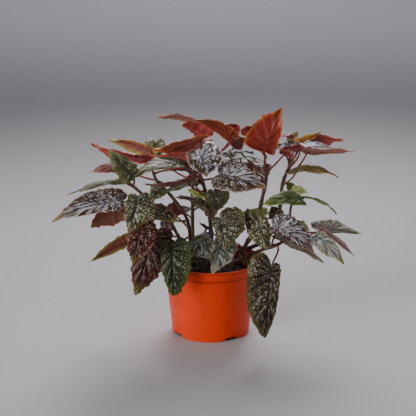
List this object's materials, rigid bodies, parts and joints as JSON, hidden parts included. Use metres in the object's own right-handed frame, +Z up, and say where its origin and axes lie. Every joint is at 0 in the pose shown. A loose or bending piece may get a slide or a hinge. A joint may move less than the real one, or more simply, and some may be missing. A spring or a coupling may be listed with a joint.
{
  "type": "potted angel wing begonia",
  "caption": "Bushy cane begonia in a tapered nursery pot of potting mix, with lopsided pointed leaves on stalks along upright canes. Stands free on the pot's foot ring.",
  "frame": {"origin": "centre of the pot's foot ring, on the surface that the pot stands on", "axes": "+Z up along the pot's axis, -Y towards the front of the plant, +X to the right of the front"},
  "size_m": [0.395, 0.2164, 0.2911],
  "materials": {
    "orange_plastic": "satin moulded polypropylene",
    "potting_mix": "dark loose peat and bark, dry on top",
    "cane_bark": "smooth brown to olive skin with pale ringed nodes",
    "young_leaf": "thin translucent orange-red young leaf",
    "silver_leaf": "glossy dark leaf almost covered with silver spots",
    "bronze_leaf": "brown-bronze leaf with white speckles",
    "olive_leaf": "olive-grey speckled leaf",
    "green_leaf": "green leaf with pale veins"
  },
  "bodies": {
    "root": {"pot": "orange_plastic", "soil": "potting_mix", "cane_centre": "cane_bark", "cane_right": "cane_bark", "cane_far_right": "cane_bark", "cane_low_right": "cane_bark", "cane_left_back": "cane_bark", "cane_left": "cane_bark", "cane_left_outer": "cane_bark", "leaf_crown_1": "young_leaf", "leaf_crown_2": "young_leaf", "leaf_crown_3": "young_leaf", "leaf_crown_4": "young_leaf", "leaf_crown_5": "young_leaf", "leaf_crown_6": "young_leaf", "leaf_crown_7": "bronze_leaf", "leaf_inner_1": "olive_leaf", "leaf_inner_2": "bronze_leaf", "leaf_inner_3": "olive_leaf", "leaf_right_1": "young_leaf", "leaf_right_2": "young_leaf", "leaf_right_3": "silver_leaf", "leaf_right_4": "bronze_leaf", "leaf_right_5": "bronze_leaf", "leaf_right_6": "young_leaf", "leaf_right_7": "olive_leaf", "leaf_right_8": "green_leaf", "leaf_right_9": "green_leaf", "leaf_right_10": "green_leaf", "leaf_right_11": "olive_leaf", "leaf_right_12": "bronze_leaf", "leaf_right_13": "silver_leaf", "leaf_right_14": "olive_leaf", "leaf_right_15": "silver_leaf", "leaf_front_1": "olive_leaf", "leaf_front_2": "olive_leaf", "leaf_front_3": "green_leaf", "leaf_front_4": "silver_leaf", "leaf_front_5": "silver_leaf", "leaf_front_6": "young_leaf", "leaf_front_7": "bronze_leaf", "leaf_front_8": "silver_leaf", "leaf_front_9": "olive_leaf", "leaf_front_10": "silver_leaf", "leaf_front_11": "bronze_leaf", "leaf_front_12": "green_leaf", "leaf_left_1": "green_leaf", "leaf_left_2": "young_leaf", "leaf_left_3": "young_leaf", "leaf_left_4": "silver_leaf", "leaf_left_5": "green_leaf", "leaf_left_6": "bronze_leaf", "leaf_left_7": "silver_leaf", "leaf_left_8": "bronze_leaf", "leaf_left_9": "olive_leaf", "leaf_left_10": "olive_leaf", "leaf_left_11": "bronze_leaf", "leaf_left_12": "bronze_leaf", "leaf_left_13": "bronze_leaf", "leaf_left_14": "bronze_leaf"}
  },
  "joints": []
}
